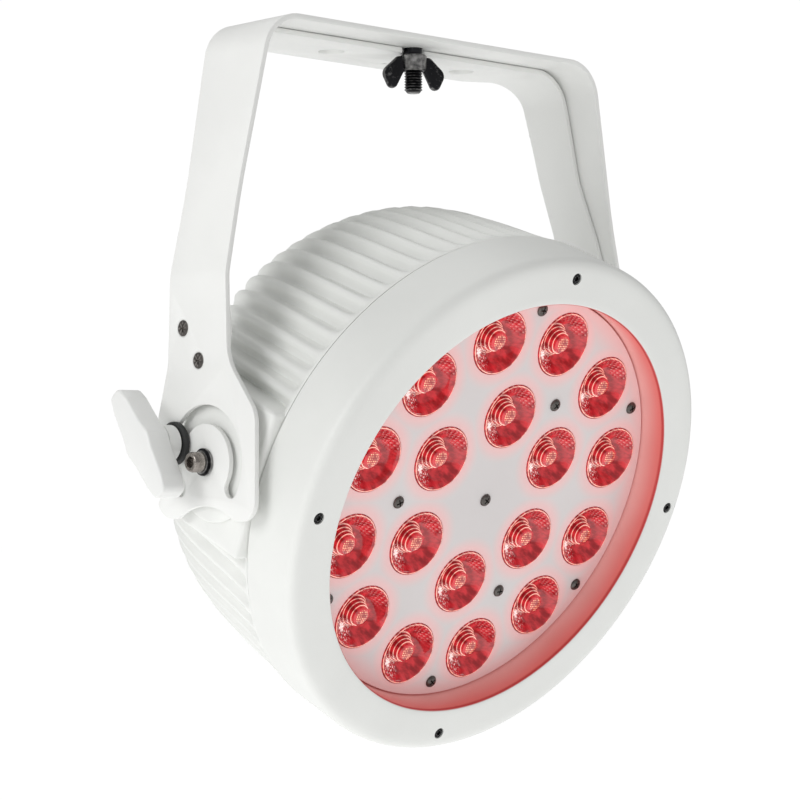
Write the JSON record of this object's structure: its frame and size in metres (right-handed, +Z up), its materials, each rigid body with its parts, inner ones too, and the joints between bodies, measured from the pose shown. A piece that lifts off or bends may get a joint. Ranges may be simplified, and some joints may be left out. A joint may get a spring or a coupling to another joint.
{
  "type": "par can stage light",
  "caption": "Round finned stage wash light with a ring of red lenses, tilting between the arms of a double hanging yoke with locking knobs.",
  "frame": {"origin": "centre of the crossbar's flat top, on the axis of the M10 hanging stud, where a clamp holds the light", "axes": "+Z up out of the crossbar towards the clamp, +X to the right seen from in front, +Y towards the back of the light; the light faces -Y and looks 22.8 degrees down at rest"},
  "size_m": [0.356, 0.2398, 0.3891],
  "materials": {
    "bracket_paint": "satin fine-texture powder coat, off-white",
    "body_paint": "satin fine-texture powder coat, off-white, over die-cast aluminium",
    "plate_white": "satin white",
    "red_lens": "gloss clear moulded optic, lit red",
    "circuit_board": "solder-masked board",
    "bare_aluminium": "as extruded",
    "smoked_window": "gloss smoked",
    "black_plastic": "matte moulded",
    "nickel_steel": "nickel plated",
    "black_oxide": "black oxide, worn bright on the edges",
    "white_moulding": "satin moulded",
    "black_rubber": "matte"
  },
  "bodies": {
    "yoke": {"outer_yoke": "bracket_paint", "hanging_stud": "black_oxide", "bracket_pivot_screw_left": "nickel_steel", "bracket_pivot_screw_right": "nickel_steel", "bracket_stop_screw_left": "nickel_steel", "bracket_stop_screw_right": "nickel_steel"},
    "bracket": {"inner_bracket": "bracket_paint"},
    "nut": {"wing_nut": "black_oxide"},
    "head": {"housing": "body_paint", "bezel": "body_paint", "bezel_screw_right": "black_oxide", "bezel_screw_top": "black_oxide", "bezel_screw_left": "black_oxide", "bezel_screw_bottom": "black_oxide", "lens_plate": "plate_white", "lens_01": "red_lens", "lens_02": "red_lens", "lens_03": "red_lens", "lens_04": "red_lens", "lens_05": "red_lens", "lens_06": "red_lens", "lens_07": "red_lens", "lens_08": "red_lens", "lens_09": "red_lens", "lens_10": "red_lens", "lens_11": "red_lens", "lens_12": "red_lens", "lens_13": "red_lens", "lens_14": "red_lens", "lens_15": "red_lens", "lens_16": "red_lens", "lens_17": "red_lens", "lens_18": "red_lens", "led_board": "circuit_board", "heat_sink": "bare_aluminium", "power_supply": "bare_aluminium", "driver_board": "circuit_board", "rear_cover": "body_paint", "display_window": "smoked_window", "power_in_socket": "black_plastic", "power_out_socket": "black_plastic", "signal_in_socket": "black_plastic", "signal_out_socket": "black_plastic", "safety_eye": "nickel_steel", "pivot_screw_left": "nickel_steel", "pivot_screw_right": "nickel_steel", "pivot_washer_left": "black_rubber", "pivot_washer_right": "black_rubber", "pivot_disc_left": "black_rubber", "pivot_disc_right": "black_rubber"},
    "knob_left": {"tilt_knob_left": "white_moulding", "tilt_lock_stud_left": "nickel_steel", "tilt_lock_washer_left": "black_rubber"},
    "knob_right": {"tilt_knob_right": "white_moulding", "tilt_lock_stud_right": "nickel_steel", "tilt_lock_washer_right": "black_rubber"},
    "menu_button": {"menu_button": "black_plastic"},
    "down_button": {"down_button": "black_plastic"},
    "up_button": {"up_button": "black_plastic"},
    "enter_button": {"enter_button": "black_plastic"}
  },
  "joints": [
    {"name": "head_tilt", "type": "hinge", "parent": "yoke", "child": "head", "pos_m": [0, -0.006, -0.232], "axis": [1, 0, 0], "range_deg": [-55, 190]},
    {"name": "bracket_swing", "type": "hinge", "parent": "yoke", "child": "bracket", "pos_m": [0, -0.0001, -0.1803], "axis": [-1, 0, 0], "range_deg": [0, 80]},
    {"name": "wing_nut_spin", "type": "hinge", "parent": "yoke", "child": "nut", "pos_m": [0, 0, -0.0115], "axis": [0, 0, 1], "continuous": true},
    {"name": "tilt_knob_left_spin", "type": "hinge", "parent": "head", "child": "knob_left", "pos_m": [-0.165, 0.01649, -0.22254], "axis": [-1, 0, 0], "continuous": true},
    {"name": "tilt_knob_right_spin", "type": "hinge", "parent": "head", "child": "knob_right", "pos_m": [0.165, 0.01649, -0.22254], "axis": [1, 0, 0], "continuous": true},
    {"name": "menu_button_press", "type": "slide", "parent": "head", "child": "menu_button", "axis": [0, -0.9219, -0.3875], "range_m": [0, 0.001], "stiffness_N_per_m": 300},
    {"name": "down_button_press", "type": "slide", "parent": "head", "child": "down_button", "axis": [0, -0.9219, -0.3875], "range_m": [0, 0.001], "stiffness_N_per_m": 300},
    {"name": "up_button_press", "type": "slide", "parent": "head", "child": "up_button", "axis": [0, -0.9219, -0.3875], "range_m": [0, 0.001], "stiffness_N_per_m": 300},
    {"name": "enter_button_press", "type": "slide", "parent": "head", "child": "enter_button", "axis": [0, -0.9219, -0.3875], "range_m": [0, 0.001], "stiffness_N_per_m": 300}
  ]
}
